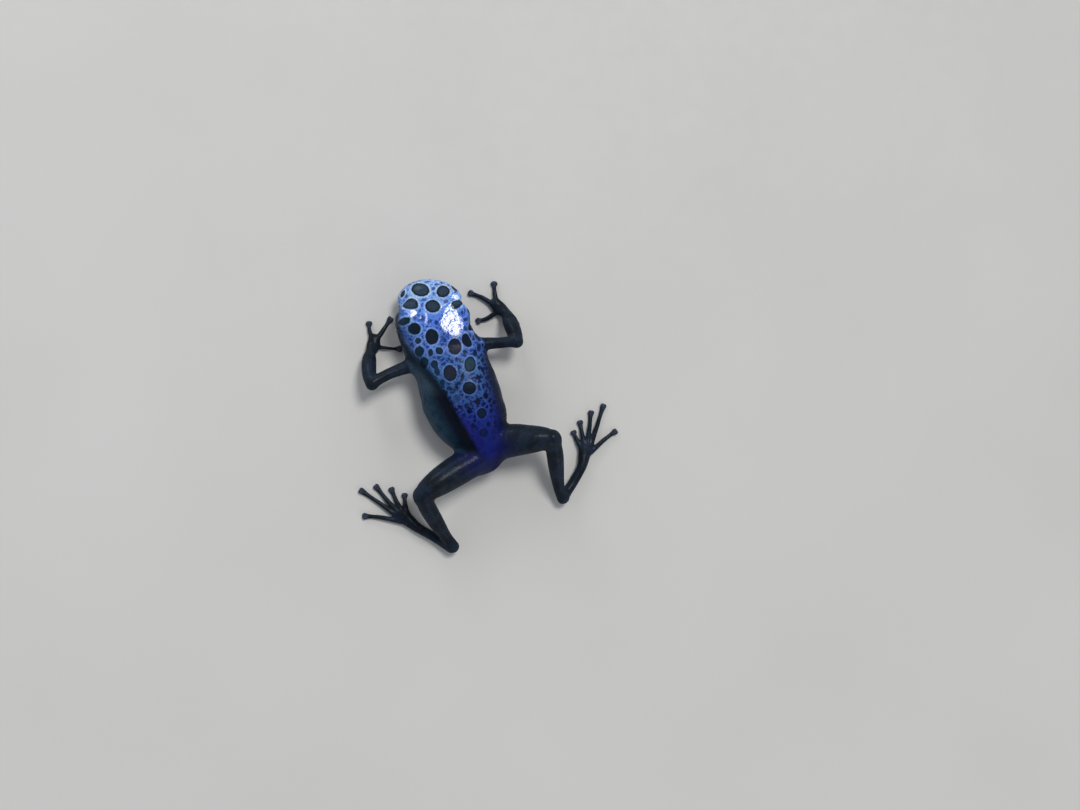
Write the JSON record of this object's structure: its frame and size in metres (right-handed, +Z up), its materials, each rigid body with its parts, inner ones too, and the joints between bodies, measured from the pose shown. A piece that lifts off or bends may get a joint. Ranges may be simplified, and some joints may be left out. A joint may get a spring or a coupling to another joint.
{
  "type": "blue poison dart frog model",
  "caption": "Life-size still display model of a blue poison dart frog: bright blue back with round black spots, near-black legs, belly down with spread fore limbs and folded hind legs.",
  "frame": {"origin": "middle of the footprint, on the floor that the belly, fingers and toes rest on", "axes": "+Z up, the head towards -Y, the frog's own left side towards +X"},
  "size_m": [0.0554, 0.0545, 0.0123],
  "materials": {
    "skin_blue": "wet, glossy, finely granular skin: sky-blue head and steel-blue back with charcoal spots, ultramarine rump, dark teal-navy flanks",
    "skin_dark": "wet, glossy, near-black blue-grey skin of the limbs",
    "eye": "black iris and pupil under a clear wet cornea"
  },
  "bodies": {
    "root": {"head": "skin_blue", "lower_jaw": "skin_blue", "trunk": "skin_blue", "eye_left": "eye", "eye_right": "eye", "upper_arm_left": "skin_dark", "forearm_left": "skin_dark", "hand_left": "skin_dark", "thigh_left": "skin_dark", "shank_left": "skin_dark", "tarsus_left": "skin_dark", "foot_left": "skin_dark", "finger_1_left": "skin_dark", "finger_2_left": "skin_dark", "finger_3_left": "skin_dark", "finger_4_left": "skin_dark", "toe_1_left": "skin_dark", "toe_2_left": "skin_dark", "toe_3_left": "skin_dark", "toe_4_left": "skin_dark", "toe_5_left": "skin_dark", "upper_arm_right": "skin_dark", "forearm_right": "skin_dark", "hand_right": "skin_dark", "thigh_right": "skin_dark", "shank_right": "skin_dark", "tarsus_right": "skin_dark", "foot_right": "skin_dark", "finger_1_right": "skin_dark", "finger_2_right": "skin_dark", "finger_3_right": "skin_dark", "finger_4_right": "skin_dark", "toe_1_right": "skin_dark", "toe_2_right": "skin_dark", "toe_3_right": "skin_dark", "toe_4_right": "skin_dark", "toe_5_right": "skin_dark"}
  },
  "joints": []
}
